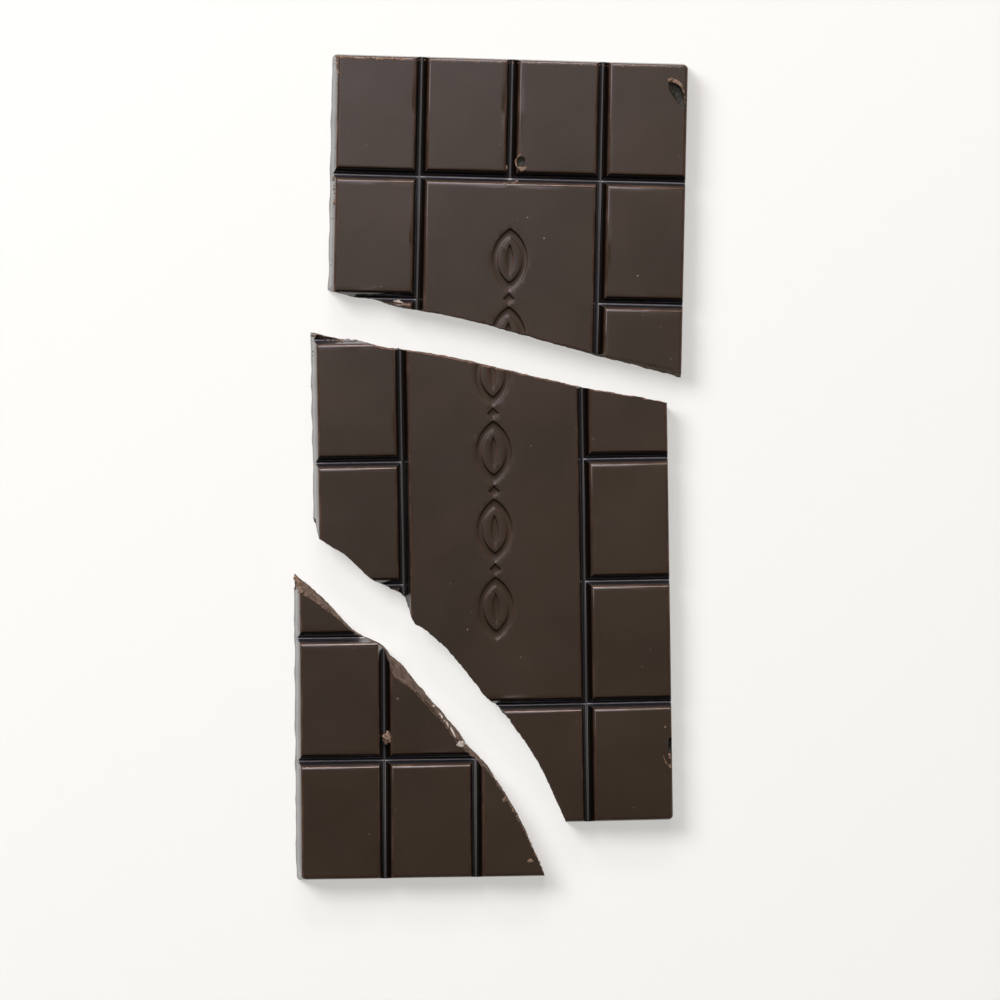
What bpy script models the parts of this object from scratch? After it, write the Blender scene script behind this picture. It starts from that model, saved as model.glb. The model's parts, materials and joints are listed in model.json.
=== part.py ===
# A dark chocolate tablet, moulded in four columns and six rows and broken into three pieces.
# The pieces lie a little apart on their flat backs, in the order in which they were one bar.
# Units are metres. +Z is up and +Y points to the bar's first row.

import math

import bmesh
import bpy
from mathutils import Matrix, Vector, noise

MM = 0.001

# The moulded bar in its own frame: centred, with its flat back at z = 0
COLUMN_PITCH = 20.1 * MM
ROW_PITCH = 27.1 * MM
END_COLUMN = 18.6 * MM  # from an outer groove to the edge of the top
END_ROW = 25.9 * MM
ROWS = 6
THICKNESS = 6.6 * MM
DRAFT = math.radians(6.0)  # the mould's taper, which lets the bar drop out
CORNER_ROUND = (1.0 * MM, 4)  # radius and segments, as in the next two
TOP_ROUND = (0.5 * MM, 3)
BACK_ROUND = (0.25 * MM, 2)
HALF_WIDTH = COLUMN_PITCH + END_COLUMN
HALF_LENGTH = 0.5 * (ROWS - 2) * ROW_PITCH + END_ROW

# The grooves between the squares
GROOVE_DEPTH = 3.1 * MM
GROOVE_FLOOR = 0.5 * MM
GROOVE_MOUTH = 2.9 * MM  # between the walls' corners, before their rounding
SHOULDER_ROUND = 0.4 * MM
SHOULDER_STEPS = 3
LONG_GROOVE_EXTRA = 0.04 * MM  # the grooves along the bar are a touch deeper
OVERSHOOT = 3.0 * MM  # how far a cutter runs past what it cuts
SKIM = 0.003 * MM  # lifts a cutter's rounding just clear of the top

# The sunken row of pods down the smooth panel
POD_COUNT = 5
POD_FIRST = 44.0 * MM  # from the bar's first edge to the first pod's middle
POD_PITCH = 17.2 * MM
POD_LENGTH = 13.8 * MM
POD_WIDTH = 7.8 * MM
POD_STROKE = 1.2 * MM
POD_INNER_LENGTH = 9.9 * MM  # the raised middle that a ring goes round
POD_RIB_LENGTH = 6.6 * MM
POD_RIB_WIDTH = 1.5 * MM
LOZENGE_SIZE = 2.4 * MM
SINK_DEPTH = 0.5 * MM
POD_STEPS = 12

# Hollows where chips came away: middle across and along from the first edge, radii, turn
CHIPS = {
    "edge_scoop": ((36.4 * MM, 6.2 * MM), (1.5 * MM, 3.2 * MM, 1.1 * MM), math.radians(28.0)),
    "corner_chip": ((2.3 * MM, 22.7 * MM), (1.3 * MM, 1.9 * MM, 1.2 * MM), math.radians(-20.0)),
    "side_nick": ((38.9 * MM, 145.4 * MM), (0.9 * MM, 2.6 * MM, 1.4 * MM), math.radians(4.0)),
}

# Each break as stops (across, along from the first edge, how far its foot runs out), in mm
UPPER_BREAK = (
    (-43.0, 50.8, -0.7), (-38.8, 51.7, -0.6), (-33.5, 53.0, -0.4), (-28.8, 53.5, -0.2),
    (-23.8, 54.9, -0.2), (-10.0, 57.1, -0.2), (3.5, 60.4, -0.2), (20.5, 64.4, 0.1),
    (30.0, 66.1, 0.6), (38.7, 67.8, 1.0), (43.0, 68.8, 1.0),
)
LOWER_BREAK = (
    (-43.0, 93.4, 2.3), (-38.9, 96.9, 2.1), (-36.2, 98.7, 1.3), (-32.9, 100.9, 0.7),
    (-28.2, 105.3, 0.5), (-25.4, 107.1, 0.4), (-20.9, 109.3, 0.5), (-19.5, 112.6, 1.8),
    (-18.2, 115.9, 3.4), (-15.6, 117.6, 2.4), (-10.6, 122.3, 1.6), (-5.2, 128.9, 1.7),
    (-2.2, 132.9, 1.5), (1.6, 136.3, 1.3), (3.2, 138.5, 1.0), (6.3, 142.9, 0.7),
    (9.8, 149.0, 0.6), (14.5, 159.6, 0.5), (16.6, 164.5, 0.5),
)
UPPER_RUN = Vector((0.0, -1.0, 0.0))  # the way a positive foot runs out
LOWER_RUN = Vector((1.0, 1.0, 0.0)).normalized()
UPPER_SEED = 3.0
LOWER_SEED = 17.0
BREAK_STEPS_PER_SPAN = 7
BREAK_LEVELS = 7
BREAK_REACH = 150.0 * MM  # past the far end of the bar
CRAG_HEIGHT = 0.28 * MM
CRAG_SIZE = 2.4 * MM
FINE_CRAG = 2.3  # the finer crags: this many times smaller, and half as high

# Where each piece lies: how far it moved from its place in the bar, and its turn
PLACES = {
    "piece_upper": ((2.62 * MM, 9.63 * MM), math.radians(-1.20)),
    "piece_middle": ((-0.15 * MM, 1.62 * MM), math.radians(0.87)),
    "piece_lower": ((-4.39 * MM, -10.15 * MM), math.radians(0.41)),
}

CHOCOLATE_COLOUR = (0.052, 0.037, 0.029, 1.0)
CHOCOLATE_ROUGHNESS = 0.34
SHARP_ANGLE = math.radians(35.0)


def along(distance):
    """The bar's own y at a distance from its first edge."""
    return HALF_LENGTH - distance


def arc_points(centre, radius, start, end, steps):
    angles = [start + (end - start) * i / steps for i in range(steps + 1)]
    return [(centre[0] + radius * math.cos(a), centre[1] + radius * math.sin(a)) for a in angles]


def new_collection(name):
    collection = bpy.data.collections.new(name)
    bpy.context.scene.collection.children.link(collection)
    return collection


def mark_as_cutter(obj):
    obj.hide_render = True
    obj.display_type = "WIRE"


def object_from_bmesh(bm, name, collection):
    bmesh.ops.recalc_face_normals(bm, faces=bm.faces)
    mesh = bpy.data.meshes.new(name)
    bm.to_mesh(mesh)
    bm.free()
    obj = bpy.data.objects.new(name, mesh)
    collection.objects.link(obj)
    return obj


def cutter_from_outlines(name, outlines, thickness, placement, collection):
    """A flat outline, with any inner outlines as holes, extruded and stood where it cuts."""
    curve = bpy.data.curves.new(name, "CURVE")
    curve.dimensions = "2D"
    curve.fill_mode = "BOTH"
    curve.extrude = thickness / 2
    for outline in outlines:
        spline = curve.splines.new("POLY")
        spline.points.add(len(outline) - 1)
        for point, (x, y) in zip(spline.points, outline):
            point.co = (x, y, 0.0, 1.0)
        spline.use_cyclic_u = True
    source = bpy.data.objects.new(name + "_outline", curve)
    collection.objects.link(source)
    source.matrix_world = placement
    bpy.context.view_layer.update()
    evaluated = source.evaluated_get(bpy.context.evaluated_depsgraph_get())
    mesh = bpy.data.meshes.new_from_object(evaluated)
    bm = bmesh.new()
    bm.from_mesh(mesh)
    bmesh.ops.remove_doubles(bm, verts=bm.verts, dist=0.001 * MM)
    bmesh.ops.recalc_face_normals(bm, faces=bm.faces)
    bm.to_mesh(mesh)
    bm.free()
    cutter = bpy.data.objects.new(name, mesh)
    collection.objects.link(cutter)
    cutter.matrix_world = source.matrix_world.copy()
    bpy.data.objects.remove(source)
    mark_as_cutter(cutter)
    return cutter


def cut(target, cutters, operation="DIFFERENCE"):
    """Cut the target with every solid of a collection."""
    modifier = target.modifiers.new(cutters.name, "BOOLEAN")
    modifier.operation = operation
    modifier.solver = "EXACT"
    modifier.operand_type = "COLLECTION"
    modifier.collection = cutters


def round_edges(bm, edges, rounding):
    radius, segments = rounding
    bmesh.ops.bevel(bm, geom=edges, offset=radius, segments=segments, profile=0.5, affect="EDGES")


def moulded_block(collection):
    """The bar before its grooves: a tapered block with rounded corners and edges."""
    bm = bmesh.new()
    bmesh.ops.create_cube(bm, size=2.0)
    spread = THICKNESS * math.tan(DRAFT)
    for vertex in bm.verts:
        is_top = vertex.co.z > 0
        widen = 0.0 if is_top else spread
        vertex.co.x *= HALF_WIDTH + widen
        vertex.co.y *= HALF_LENGTH + widen
        vertex.co.z = THICKNESS if is_top else 0.0
    upright = [e for e in bm.edges if abs(e.verts[0].co.z - e.verts[1].co.z) > THICKNESS / 2]
    round_edges(bm, upright, CORNER_ROUND)
    for level, rounding in ((THICKNESS, TOP_ROUND), (0.0, BACK_ROUND)):
        rim = [e for e in bm.edges if all(abs(v.co.z - level) < SKIM for v in e.verts)]
        round_edges(bm, rim, rounding)
    return object_from_bmesh(bm, "moulded_bar", collection)


def groove_outline(depth):
    """Across a groove: floor, sloping walls and shoulders that round into the squares' tops."""
    half_floor = GROOVE_FLOOR / 2
    half_mouth = GROOVE_MOUTH / 2
    slope = math.atan((half_mouth - half_floor) / depth)
    tangent = SHOULDER_ROUND / math.tan((math.pi / 2 + slope) / 2)
    centre = (half_mouth + tangent, SKIM - SHOULDER_ROUND)
    shoulder = arc_points(centre, SHOULDER_ROUND, math.pi - slope, math.pi / 2, SHOULDER_STEPS)
    right = [(half_floor, -depth)] + shoulder + [(half_mouth + tangent, OVERSHOOT)]
    left = [(-x, z) for x, z in reversed(right)]
    return right + left


def groove_cutter(name, start, end, depth, collection):
    """One straight groove from start to end, both (x, y) in the bar's frame."""
    first = Vector((*start, 0.0))
    run = Vector((*end, 0.0)) - first
    heading = run.normalized()
    across = Vector((-heading.y, heading.x, 0.0))
    up = Vector((0.0, 0.0, 1.0))
    placement = Matrix((across, up, across.cross(up))).transposed().to_4x4()
    placement.translation = first + run / 2 + up * THICKNESS
    return cutter_from_outlines(name, [groove_outline(depth)], run.length, placement, collection)


def cut_grooves(collection):
    side = HALF_WIDTH + OVERSHOOT
    end = HALF_LENGTH + OVERSHOOT
    deep = GROOVE_DEPTH + LONG_GROOVE_EXTRA
    rows = [HALF_LENGTH - END_ROW - i * ROW_PITCH for i in range(ROWS - 1)]
    for i, x in enumerate((-COLUMN_PITCH, COLUMN_PITCH)):
        groove_cutter(f"long_groove_{i}", (x, -end), (x, end), deep, collection)
    groove_cutter("middle_groove_first", (0.0, rows[0]), (0.0, end), deep, collection)
    groove_cutter("middle_groove_last", (0.0, -end), (0.0, rows[-1]), deep, collection)
    for i, y in enumerate((rows[0], rows[-1])):
        groove_cutter(f"cross_groove_{i}", (-side, y), (side, y), GROOVE_DEPTH, collection)
    for i, y in enumerate(rows[1:-1]):
        groove_cutter(f"left_groove_{i}", (-side, y), (-COLUMN_PITCH, y), GROOVE_DEPTH, collection)
        groove_cutter(f"right_groove_{i}", (COLUMN_PITCH, y), (side, y), GROOVE_DEPTH, collection)


def pointed_oval(length, width):
    """Two equal arcs that meet in points, along y."""
    half_length = length / 2
    half_width = width / 2
    radius = (half_length ** 2 + half_width ** 2) / (2 * half_width)
    reach = math.asin(half_length / radius)
    right = arc_points((half_width - radius, 0.0), radius, -reach, reach, POD_STEPS)
    left = [(-x, -y) for x, y in right]
    return right[:-1] + left[:-1]


def sink_motif(collection):
    """A row of sunken pods, each a ring round a rib, with a small lozenge between two pods."""
    inner_width = POD_WIDTH - 2 * POD_STROKE
    rings = [pointed_oval(POD_LENGTH, POD_WIDTH), pointed_oval(POD_INNER_LENGTH, inner_width)]
    rib = [pointed_oval(POD_RIB_LENGTH, POD_RIB_WIDTH)]
    half = LOZENGE_SIZE / 2
    lozenge = [[(half, 0.0), (0.0, half), (-half, 0.0), (0.0, -half)]]
    height = SINK_DEPTH + OVERSHOOT
    middle = THICKNESS - SINK_DEPTH + height / 2
    for i in range(POD_COUNT):
        y = along(POD_FIRST + i * POD_PITCH)
        place = Matrix.Translation((0.0, y, middle))
        cutter_from_outlines(f"pod_ring_{i}", rings, height, place, collection)
        cutter_from_outlines(f"pod_rib_{i}", rib, height, place, collection)
        if i < POD_COUNT - 1:
            place = Matrix.Translation((0.0, y - POD_PITCH / 2, middle))
            cutter_from_outlines(f"lozenge_{i}", lozenge, height, place, collection)


def take_chips(collection):
    for name, (middle, radii, turn) in CHIPS.items():
        bm = bmesh.new()
        bmesh.ops.create_uvsphere(bm, u_segments=12, v_segments=8, radius=1.0)
        bmesh.ops.scale(bm, vec=radii, verts=bm.verts)
        bmesh.ops.rotate(bm, cent=(0, 0, 0), matrix=Matrix.Rotation(turn, 3, "Z"), verts=bm.verts)
        bmesh.ops.translate(bm, vec=(middle[0], along(middle[1]), THICKNESS), verts=bm.verts)
        mark_as_cutter(object_from_bmesh(bm, name, collection))


def extend(stops, end):
    """A stop beyond one end of a break, in line with its last two."""
    last = Vector(stops[end])
    before = Vector(stops[1 if end == 0 else -2])
    return tuple(2 * last - before)


def smooth_stops(stops):
    """A Catmull-Rom curve through the stops, whose first and last only steer its ends."""
    points = [Vector((x * MM, along(y * MM), foot * MM)) for x, y, foot in stops]
    path = []
    for a, b, c, d in zip(points, points[1:], points[2:], points[3:]):
        for i in range(BREAK_STEPS_PER_SPAN):
            t = i / BREAK_STEPS_PER_SPAN
            bend = (2 * a - 5 * b + 4 * c - d) * t ** 2 + (3 * b - a - 3 * c + d) * t ** 3
            path.append((2 * b + (c - a) * t + bend) / 2)
    path.append(points[-2])
    return path


def crag(point, seed):
    """How far the broken face stands proud at a point."""
    where = point / CRAG_SIZE + Vector((seed, 0.0, 0.0))
    return CRAG_HEIGHT * (noise.noise(where) + 0.5 * noise.noise(where * FINE_CRAG))


def break_cutter(name, stops, run, seed, sweep, collection):
    """The solid on one side of a break: its rough sheet, swept away from the break."""
    path = smooth_stops([extend(stops, 0), *stops, extend(stops, -1)])
    low = -OVERSHOOT
    high = THICKNESS + OVERSHOOT
    bm = bmesh.new()
    bmesh.ops.create_grid(bm, x_segments=len(path) - 1, y_segments=BREAK_LEVELS + 2, size=0.5)
    for vertex in bm.verts:
        stop = path[round((vertex.co.x + 0.5) * (len(path) - 1))]
        level = round((vertex.co.y + 0.5) * (BREAK_LEVELS + 2)) - 1
        z = THICKNESS * level / BREAK_LEVELS
        if level < 0:
            z = low
        elif level > BREAK_LEVELS:
            z = high
        depth = min(max(1 - z / THICKNESS, 0.0), 1.0)
        point = Vector((stop.x, stop.y, z))
        vertex.co = point + run * (stop.z * depth + crag(point, seed))
    swept = bmesh.ops.extrude_face_region(bm, geom=bm.faces[:])["geom"]
    verts = [item for item in swept if isinstance(item, bmesh.types.BMVert)]
    bmesh.ops.translate(bm, vec=run * sweep, verts=verts)
    cutter = object_from_bmesh(bm, name, collection)
    mark_as_cutter(cutter)
    return cutter


def bake(obj):
    """Replace an object's mesh and modifiers with what they make."""
    bpy.context.view_layer.update()
    evaluated = obj.evaluated_get(bpy.context.evaluated_depsgraph_get())
    mesh = bpy.data.meshes.new_from_object(evaluated)
    obj.modifiers.clear()
    obj.data = mesh


def chocolate_material(name):
    material = bpy.data.materials.new(name)
    material.use_nodes = True
    shader = material.node_tree.nodes["Principled BSDF"]
    shader.inputs["Base Color"].default_value = CHOCOLATE_COLOUR
    shader.inputs["Roughness"].default_value = CHOCOLATE_ROUGHNESS
    shader.inputs["Metallic"].default_value = 0.0
    return material


def broken_piece(name, bar, cutters, operation, collection):
    """A copy of the bar, cut at its breaks and laid in its place."""
    mesh = bar.data.copy()
    mesh.name = name
    mesh.materials.clear()
    mesh.materials.append(chocolate_material(name + "_chocolate"))
    piece = bpy.data.objects.new(name, mesh)
    collection.objects.link(piece)
    cut(piece, cutters, operation)
    bake(piece)
    piece.data.shade_smooth()
    piece.data.set_sharp_from_angle(angle=SHARP_ANGLE)
    (x, y), turn = PLACES[name]
    piece.location = (x, y, 0.0)
    piece.rotation_euler = (0.0, 0.0, turn)
    return piece


def main():
    for obj in list(bpy.data.objects):
        bpy.data.objects.remove(obj)
    pieces = new_collection("chocolate_bar")
    guides = new_collection("guides")
    grooves = new_collection("groove_cutters")
    motif = new_collection("motif_cutters")
    chips = new_collection("chip_cutters")

    bar = moulded_block(guides)
    mark_as_cutter(bar)
    cut_grooves(grooves)
    sink_motif(motif)
    take_chips(chips)
    for cutters in (grooves, motif, chips):
        cut(bar, cutters)
    bake(bar)

    breaks = {name: new_collection(name + "_breaks") for name in PLACES}
    upper = (UPPER_BREAK, UPPER_RUN, UPPER_SEED)
    lower = (LOWER_BREAK, LOWER_RUN, LOWER_SEED)
    break_cutter("below_upper_break", *upper, BREAK_REACH, breaks["piece_upper"])
    break_cutter("above_upper_break", *upper, -BREAK_REACH, breaks["piece_middle"])
    below_lower = break_cutter("below_lower_break", *lower, -BREAK_REACH, breaks["piece_middle"])
    breaks["piece_lower"].objects.link(below_lower)
    for name, cutters in breaks.items():
        operation = "INTERSECT" if name == "piece_lower" else "DIFFERENCE"
        broken_piece(name, bar, cutters, operation, pieces)


main()
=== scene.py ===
import json
import math
import random

import bmesh
import bpy
from mathutils import Matrix, Vector, noise
from mathutils.bvhtree import BVHTree

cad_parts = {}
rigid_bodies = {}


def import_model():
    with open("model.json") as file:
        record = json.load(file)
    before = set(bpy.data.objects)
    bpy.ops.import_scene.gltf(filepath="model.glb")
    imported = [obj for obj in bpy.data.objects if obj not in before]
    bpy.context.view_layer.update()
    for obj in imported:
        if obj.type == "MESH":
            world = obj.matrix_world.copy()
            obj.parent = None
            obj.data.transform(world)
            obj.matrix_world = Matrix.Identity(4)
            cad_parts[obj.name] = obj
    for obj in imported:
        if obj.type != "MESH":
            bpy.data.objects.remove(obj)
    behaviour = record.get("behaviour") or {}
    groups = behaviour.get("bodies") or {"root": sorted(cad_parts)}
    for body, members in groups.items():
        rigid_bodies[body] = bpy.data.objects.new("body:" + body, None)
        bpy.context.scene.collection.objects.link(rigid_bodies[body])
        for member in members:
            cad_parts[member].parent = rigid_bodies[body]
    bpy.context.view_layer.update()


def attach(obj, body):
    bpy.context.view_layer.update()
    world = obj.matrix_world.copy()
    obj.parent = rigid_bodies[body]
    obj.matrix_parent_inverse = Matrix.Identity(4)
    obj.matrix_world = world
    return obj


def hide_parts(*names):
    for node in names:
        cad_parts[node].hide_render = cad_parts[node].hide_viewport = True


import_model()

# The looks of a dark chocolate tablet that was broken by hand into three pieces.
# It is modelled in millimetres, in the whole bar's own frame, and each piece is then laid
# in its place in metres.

mm = 0.001

bar = {
    "columnPitch": 20.1,
    "rowPitch": 27.1,
    "endColumn": 18.6,  # from an outer groove to the edge of the top
    "endRow": 25.9,
    "rows": 6,
    "thickness": 6.6,
    "draft": math.radians(6.0),
    "cornerRound": (1.0, 8),  # radius and segments, as in the next two
    "topRound": (0.6, 6),
    "backRound": (0.25, 3),
    "gridStep": 1.1,  # between the lines that let the faces undulate
    "waver": 0.025,  # how far a moulded face strays from true
    "waverSize": 13.0,
    "waverApart": 9,  # sets the waver along one axis apart from the others
    "footLip": (0.08, 0.34, 3.2),  # least and greatest spread of the left side's thin lip, and its waves
}
thickness = bar["thickness"]
halfWidth = bar["columnPitch"] + bar["endColumn"]
halfLength = 0.5 * (bar["rows"] - 2) * bar["rowPitch"] + bar["endRow"]
overshoot = 3.0  # how far a cutter runs past what it cuts
skim = 0.003  # lifts a cutter's rounding just clear of the top
finishNames = ("satin", "snapped", "chipped", "shaded")  # a face tells its material by the place here
finishes = []  # the materials themselves, in the same order
scratch = bpy.data.collections.new("scratch")
bpy.context.scene.collection.children.link(scratch)


def along(distance):
    # the bar's own y at a distance from its first edge
    return halfLength - distance


def arcPoints(centre, radius, start, end, steps):
    angles = [start + (end - start) * i / steps for i in range(steps + 1)]
    return [(centre[0] + radius * math.cos(a), centre[1] + radius * math.sin(a)) for a in angles]


def wallOutline(foot, top, depth, slope, shoulder, root):
    # (offset, height) up a sloping wall, round its root and then round its shoulder into the top;
    # foot and top are the offsets of the wall's corners before their rounding
    radius, steps = root
    centre = (foot - radius * math.tan((math.pi / 2 - slope) / 2), radius - depth)
    outline = arcPoints(centre, radius, -math.pi / 2, -slope, steps)
    radius, steps = shoulder
    reach = top + radius / math.tan((math.pi / 2 + slope) / 2)
    outline += arcPoints((reach, skim - radius), radius, math.pi - slope, math.pi / 2, steps)
    return outline + [(reach, overshoot)]


def vertsIn(geom):
    return [v for v in geom if isinstance(v, bmesh.types.BMVert)]


def newCollection(name):
    collection = bpy.data.collections.new(name)
    scratch.children.link(collection)
    return collection


def objectFrom(bm, name, collection):
    bmesh.ops.recalc_face_normals(bm, faces=bm.faces)
    mesh = bpy.data.meshes.new(name)
    bm.to_mesh(mesh)
    bm.free()
    for material in finishes:
        mesh.materials.append(material)
    obj = bpy.data.objects.new(name, mesh)
    collection.objects.link(obj)
    return obj


def cut(target, cutters, operation="DIFFERENCE"):
    modifier = target.modifiers.new(cutters.name, "BOOLEAN")
    modifier.operation = operation
    modifier.solver = "MANIFOLD"
    modifier.operand_type = "COLLECTION"
    modifier.collection = cutters


def bake(obj):
    # replaces an object's mesh and modifiers with what they make
    bpy.context.view_layer.update()
    evaluated = obj.evaluated_get(bpy.context.evaluated_depsgraph_get())
    mesh = bpy.data.meshes.new_from_object(evaluated)
    obj.modifiers.clear()
    obj.data = mesh


def roundEdges(bm, edges, rounding):
    radius, segments = rounding
    bmesh.ops.bevel(
        bm, geom=edges, offset=radius, segments=segments, profile=0.5, affect="EDGES", material=-1
    )


def gridLines(half, step):
    count = int(2 * half / step)
    return [(i - (count - 1) / 2) * step for i in range(count)]


def mouldedBlock():
    # the bar before its grooves: a tapered block with rounded corners and edges, in a fine grid
    bm = bmesh.new()
    bmesh.ops.create_cube(bm, size=2.0)
    bmesh.ops.scale(bm, vec=(halfWidth, halfLength, thickness / 2), verts=bm.verts)
    bmesh.ops.translate(bm, vec=(0, 0, thickness / 2), verts=bm.verts)
    spread = thickness * math.tan(bar["draft"])
    base = [v for v in bm.verts if v.co.z < thickness / 2]
    bmesh.ops.scale(bm, vec=(1 + spread / halfWidth, 1 + spread / halfLength, 1), verts=base)
    upright = [e for e in bm.edges if abs(e.verts[0].co.z - e.verts[1].co.z) > thickness / 2]
    roundEdges(bm, upright, bar["cornerRound"])
    for level, rounding in ((thickness, bar["topRound"]), (0.0, bar["backRound"])):
        rim = [e for e in bm.edges if all(abs(v.co.z - level) < skim for v in e.verts)]
        roundEdges(bm, rim, rounding)
    for axis, half in (((1, 0, 0), halfWidth), ((0, 1, 0), halfLength)):
        for place in gridLines(half, bar["gridStep"]):
            geom = bm.verts[:] + bm.edges[:] + bm.faces[:]
            middle = Vector(axis) * place
            bmesh.ops.bisect_plane(bm, geom=geom, plane_co=middle, plane_no=axis, dist=1e-4)
    print("block", len(bm.faces))
    return objectFrom(bm, "mouldedBar", scratch)


grooves = {
    "depth": 3.1,
    "longExtra": 0.04,  # the grooves along the bar are a touch deeper
    "floor": 0.5,
    "longMouth": (2.9, 0.52),  # between the walls' corners before their rounding, and its radius
    "crossMouth": (2.3, 0.95),  # the cross grooves have softer shoulders
    "shoulderSteps": 8,
    "root": (0.32, 6),  # radius and steps
}


def grooveOutline(depth, mouth):
    # across a groove: hollow floor, sloping walls and shoulders that round into the tops
    halfFloor = grooves["floor"] / 2
    halfMouth = mouth[0] / 2
    slope = math.atan((halfMouth - halfFloor) / depth)
    shoulder = (mouth[1], grooves["shoulderSteps"])
    right = wallOutline(halfFloor, halfMouth, depth, slope, shoulder, grooves["root"])
    return right + [(-x, z) for x, z in reversed(right)]


def grooveCutter(name, start, end, collection):
    # name is "long..." for a groove along the bar and "cross..." for one across it
    long = name.startswith("long")
    depth = grooves["depth"] + (grooves["longExtra"] if long else 0)
    mouth = grooves["longMouth"] if long else grooves["crossMouth"]
    first = Vector((*start, thickness))
    run = Vector((*end, thickness)) - first
    bm = bmesh.new()
    outline = bm.faces.new([bm.verts.new((x, 0, z)) for x, z in grooveOutline(depth, mouth)])
    swept = bmesh.ops.extrude_face_region(bm, geom=[outline])["geom"]
    bmesh.ops.translate(bm, vec=(0, run.length, 0), verts=vertsIn(swept))
    turn = Vector((0, 1, 0)).rotation_difference(run)
    bmesh.ops.rotate(bm, cent=(0, 0, 0), matrix=turn.to_matrix(), verts=bm.verts)
    bmesh.ops.translate(bm, vec=first, verts=bm.verts)
    return objectFrom(bm, name, collection)


def cutGrooves(collection):
    side = halfWidth + overshoot
    end = halfLength + overshoot
    column = bar["columnPitch"]
    rows = [along(bar["endRow"] + i * bar["rowPitch"]) for i in range(bar["rows"] - 1)]
    for x in (-column, column):
        grooveCutter("longSide", (x, -end), (x, end), collection)
    grooveCutter("longMiddleFirst", (0, rows[0]), (0, end), collection)
    grooveCutter("longMiddleLast", (0, -end), (0, rows[-1]), collection)
    for y in (rows[0], rows[-1]):
        grooveCutter("crossWhole", (-side, y), (side, y), collection)
    for y in rows[1:-1]:
        grooveCutter("crossLeft", (-side, y), (-column, y), collection)
        grooveCutter("crossRight", (column, y), (side, y), collection)


motif = {
    "count": 5,
    "first": 44.0,  # from the bar's first edge to the first pod's middle
    "pitch": 17.2,
    "pod": (13.8, 7.8),  # length and width, as in the next two
    "inner": (9.9, 5.4),
    "rib": (6.6, 1.5),
    "lozenge": 2.4,
    "depth": 0.5,
    "slope": math.radians(14.0),
    "shoulder": (0.17, 4),
    "root": (0.12, 3),
    "arcSteps": 28,
}


def strokeWall():
    # (offset from the outline, height) from the stroke's floor up to its mouth
    depth, slope = motif["depth"], motif["slope"]
    lean = depth * math.tan(slope) / 2
    return wallOutline(-lean, lean, depth, slope, motif["shoulder"], motif["root"])


def pointedOval(size, offset):
    # two equal arcs that meet in points, along y
    halfLong, halfWide = size[0] / 2, size[1] / 2
    radius = (halfLong ** 2 + halfWide ** 2) / (2 * halfWide)
    middle = halfWide - radius
    radius += offset
    reach = math.acos(-middle / radius)
    right = arcPoints((middle, 0), radius, -reach, reach, motif["arcSteps"])
    return right[:-1] + [(-x, -y) for x, y in right[:-1]]


def lozengeOutline(size, offset):
    half = size / 2 + offset * math.sqrt(2)
    return [(half, 0), (0, half), (-half, 0), (0, -half)]


def drawLoops(bm, loops, capped):
    # extrudes the first loop of points to each of the next; each point keeps its place in the loop
    place = bm.verts.layers.int.new("place")
    verts = [bm.verts.new(point) for point in loops[0]]
    for i, vert in enumerate(verts):
        vert[place] = i
    edges = [bm.edges.new(pair) for pair in zip(verts, verts[1:] + verts[:1])]
    if capped:
        bmesh.ops.edgeloop_fill(bm, edges=edges)
    for loop in loops[1:]:
        drawn = bmesh.ops.extrude_edge_only(bm, edges=edges)["geom"]
        verts = set(vertsIn(drawn))
        edges = [e for e in drawn if isinstance(e, bmesh.types.BMEdge) and verts.issuperset(e.verts)]
        for vert in verts:
            vert.co = loop[vert[place]]
    if capped:
        bmesh.ops.edgeloop_fill(bm, edges=edges)
    else:
        bmesh.ops.remove_doubles(bm, verts=bm.verts, dist=1e-4)


def strokeCutter(name, y, outline, size, innerSize, collection):
    # sinks the inside of an outline, or the ring between it and an inner outline
    def loopAt(size, offset, height):
        return [(x, y + rise, thickness + height) for x, rise in outline(size, offset)]

    wall = strokeWall()
    loops = [loopAt(size, offset, height) for offset, height in reversed(wall)]
    if innerSize:
        loops += [loopAt(innerSize, -offset, height) for offset, height in wall]
        loops.append(loops[0])
    bm = bmesh.new()
    drawLoops(bm, loops, capped=not innerSize)
    bmesh.ops.triangulate(bm, faces=bm.faces)
    objectFrom(bm, name, collection)


def sinkMotif(collection):
    for i in range(motif["count"]):
        y = along(motif["first"] + i * motif["pitch"])
        strokeCutter("podRing", y, pointedOval, motif["pod"], motif["inner"], collection)
        strokeCutter("podRib", y, pointedOval, motif["rib"], None, collection)
        if i < motif["count"] - 1:
            between = y - motif["pitch"] / 2
            strokeCutter("lozenge", between, lozengeOutline, motif["lozenge"], None, collection)


# hollows where chips came away: middle across, along from the first edge and up, radii, turn
# in degrees, and their finish
chips = {
    "edgeScoop": ((36.5, 6.3, 6.6), (1.25, 3.3, 0.95), 33.0, "chipped"),
    "cornerChip": ((2.0, 22.4, 6.6), (1.0, 1.3, 0.55), -20.0, "chipped"),
    "sideNick": ((38.75, 143.9, 6.6), (1.0, 1.9, 2.0), 4.0, "chipped"),
    "tipScar": ((-39.7, 94.7, 2.2), (0.7, 2.5, 6.0), 0.0, "snapped"),
}
chipShape = {
    "detail": 5,  # subdivisions of the ball that makes a hollow
    "dents": ((0.2, 0.8), (0.1, 0.3)),  # height and size
}


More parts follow.
